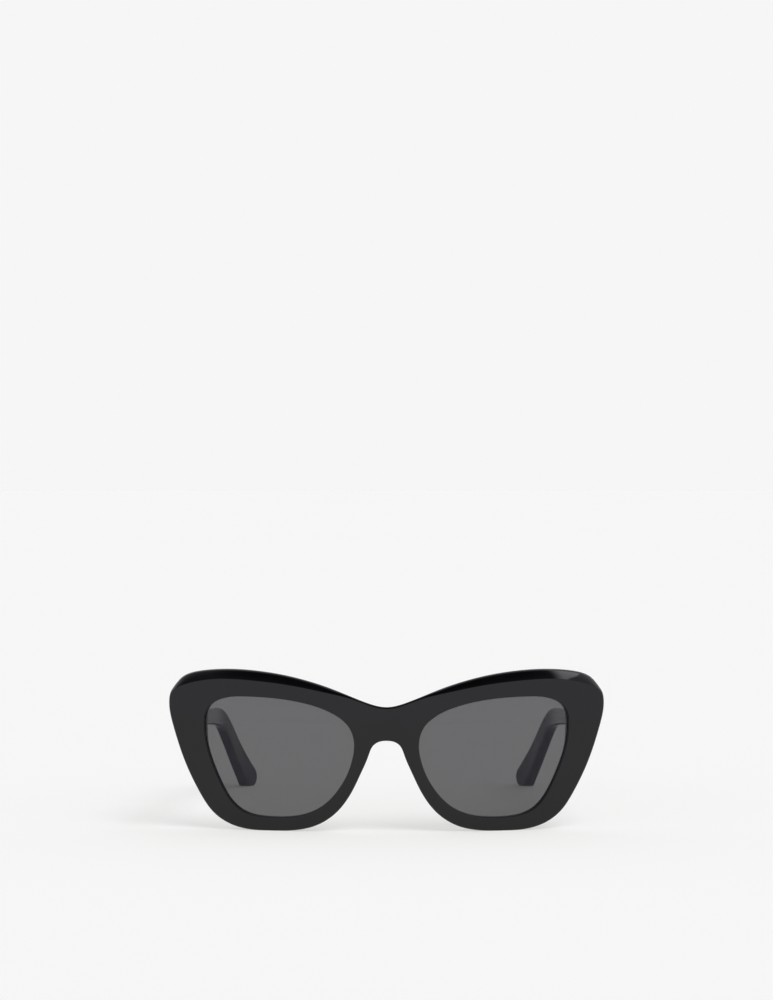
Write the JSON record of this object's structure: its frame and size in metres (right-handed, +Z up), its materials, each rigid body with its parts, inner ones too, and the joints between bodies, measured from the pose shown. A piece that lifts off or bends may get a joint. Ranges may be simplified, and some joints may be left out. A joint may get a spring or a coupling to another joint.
{
  "type": "cat eye sunglasses",
  "caption": "Glossy black cat eye sunglasses with upswept wings, a bevelled brow, grey curved lenses and folding temples with dropped tips.",
  "frame": {"origin": "bottom centre of the opened sunglasses: midway between the wings and midway between the front's foremost point and the temple tips, on the surface they stand on", "axes": "+Z up, the front faces -Y, +X to the wearer's left"},
  "size_m": [0.1442, 0.1369, 0.0528],
  "materials": {
    "front_acetate": "polished black acetate",
    "temple_acetate": "polished black acetate",
    "pad_acetate": "polished black acetate",
    "tinted_lens": "polished grey tinted resin, see-through",
    "hinge_steel": "fine brushed nickel silver",
    "screw_steel": "turned steel with a slotted head",
    "pin_brass": "satin",
    "wire_steel": "drawn nickel silver"
  },
  "bodies": {
    "front": {"frame_front": "front_acetate", "lens_left": "tinted_lens", "lens_right": "tinted_lens", "nose_pad_left": "pad_acetate", "nose_pad_right": "pad_acetate", "front_hinge_left": "hinge_steel", "front_hinge_right": "hinge_steel", "front_hinge_pins_left": "pin_brass", "front_hinge_pins_right": "pin_brass", "hinge_screw_left": "screw_steel", "hinge_screw_right": "screw_steel"},
    "temple_left_body": {"temple_left": "temple_acetate", "core_wire_left": "wire_steel", "temple_hinge_left": "hinge_steel", "temple_hinge_pins_left": "pin_brass"},
    "temple_right_body": {"temple_right": "temple_acetate", "core_wire_right": "wire_steel", "temple_hinge_right": "hinge_steel", "temple_hinge_pins_right": "pin_brass"}
  },
  "joints": [
    {"name": "temple_left_fold", "type": "hinge", "parent": "front", "child": "temple_left_body", "pos_m": [0.0626, -0.04977, 0.03652], "axis": [0, 0, 1], "range_deg": [0, 85]},
    {"name": "temple_right_fold", "type": "hinge", "parent": "front", "child": "temple_right_body", "pos_m": [-0.0626, -0.04977, 0.03652], "axis": [0, 0, -1], "range_deg": [0, 78]}
  ]
}
